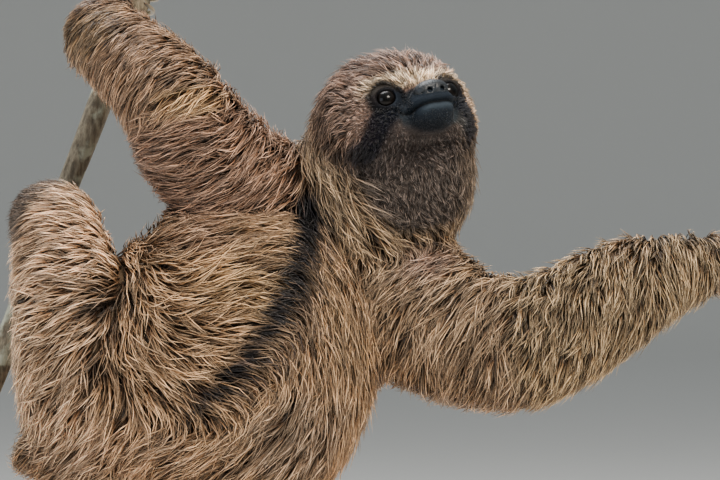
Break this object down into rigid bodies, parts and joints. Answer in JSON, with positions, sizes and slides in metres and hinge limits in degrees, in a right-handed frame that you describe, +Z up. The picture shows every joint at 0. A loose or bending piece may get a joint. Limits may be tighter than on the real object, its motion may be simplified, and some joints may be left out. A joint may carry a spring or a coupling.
{
  "type": "three-toed sloth",
  "caption": "Life-size still model of a brown-throated three-toed sloth clinging to a cut branch, reaching out and looking back, on a display stand.",
  "frame": {"origin": "middle of the flat underside of the stand's base", "axes": "+Z up, +X from the branch towards the reaching right arm, +Y from the sloth's back towards its belly"},
  "size_m": [0.588, 0.27, 0.4907],
  "materials": {
    "coat": "long coarse tan and brown hair in wet-looking locks, matt",
    "dark_coat": "short smooth brown hair, matt",
    "throat_coat": "short woolly dark brown hair",
    "face_skin": "bluish dark grey skin under very short hair",
    "nose_skin": "damp black bare skin",
    "eye": "wet, nearly black brown",
    "claw_horn": "smooth yellowish horn, darker at the root",
    "bark": "grey-green bark with pale lichen",
    "base_wood": "oiled oak board",
    "rod_steel": "brushed"
  },
  "bodies": {
    "root": {"trunk": "coat", "neck": "throat_coat", "head": "coat", "muzzle": "face_skin", "nose": "nose_skin", "eye_right": "eye", "eye_left": "eye", "tail": "coat", "upper_arm_left": "coat", "forearm_left": "coat", "hand_left": "dark_coat", "hand_left_claw_1": "claw_horn", "hand_left_claw_2": "claw_horn", "hand_left_claw_3": "claw_horn", "thigh_left": "coat", "shank_left": "coat", "foot_left": "dark_coat", "foot_left_claw_1": "claw_horn", "foot_left_claw_2": "claw_horn", "foot_left_claw_3": "claw_horn", "upper_arm_right": "coat", "forearm_right": "coat", "hand_right": "dark_coat", "hand_right_claw_1": "claw_horn", "hand_right_claw_2": "claw_horn", "hand_right_claw_3": "claw_horn", "thigh_right": "coat", "shank_right": "coat", "foot_right": "dark_coat", "foot_right_claw_1": "claw_horn", "foot_right_claw_2": "claw_horn", "foot_right_claw_3": "claw_horn", "branch": "bark", "stand_base": "base_wood", "stand_rod_branch": "rod_steel", "stand_rod_belly": "rod_steel"}
  },
  "joints": []
}
